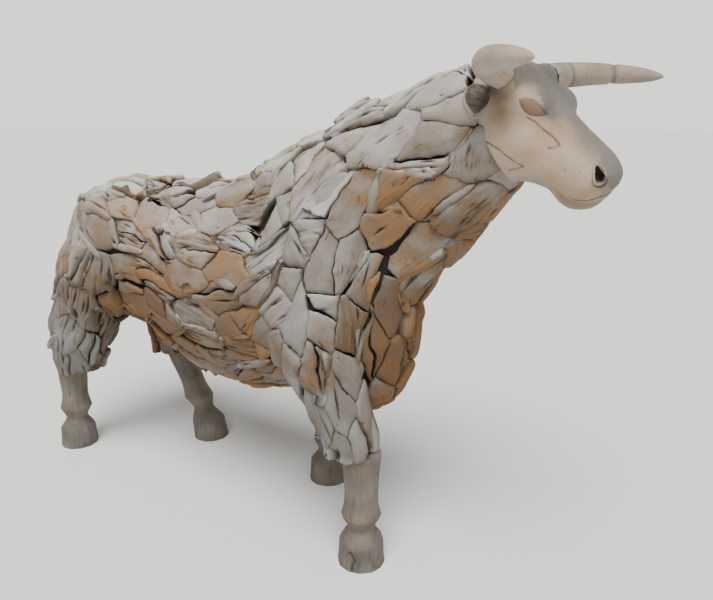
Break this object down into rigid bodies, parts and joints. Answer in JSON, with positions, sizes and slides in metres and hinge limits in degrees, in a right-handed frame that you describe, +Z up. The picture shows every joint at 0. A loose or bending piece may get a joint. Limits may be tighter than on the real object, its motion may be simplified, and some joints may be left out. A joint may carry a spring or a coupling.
{
  "type": "teak bull sculpture",
  "caption": "Life-size standing bull, its body clad in grey teak root fragments, with a smooth carved head, forward horns, ears and lower legs; stands freely as garden sculpture.",
  "frame": {"origin": "on the ground, under the middle of the bull's bounding box", "axes": "+X towards the nose, +Y towards the bull's left, +Z up"},
  "size_m": [2.323, 0.8248, 1.6139],
  "materials": {
    "root_teak": "weathered, rough, grey to warm tan",
    "carved_teak": "weathered, sanded smooth",
    "horn_teak": "weathered, sanded smooth, two darker bands",
    "leg_teak": "weathered, tool-marked"
  },
  "bodies": {
    "root": {"body": "root_teak", "head": "carved_teak", "horn_left": "horn_teak", "horn_right": "horn_teak", "ear_left": "carved_teak", "ear_right": "carved_teak", "lower_leg_front_left": "leg_teak", "lower_leg_front_right": "leg_teak", "lower_leg_hind_left": "leg_teak", "lower_leg_hind_right": "leg_teak"}
  },
  "joints": []
}
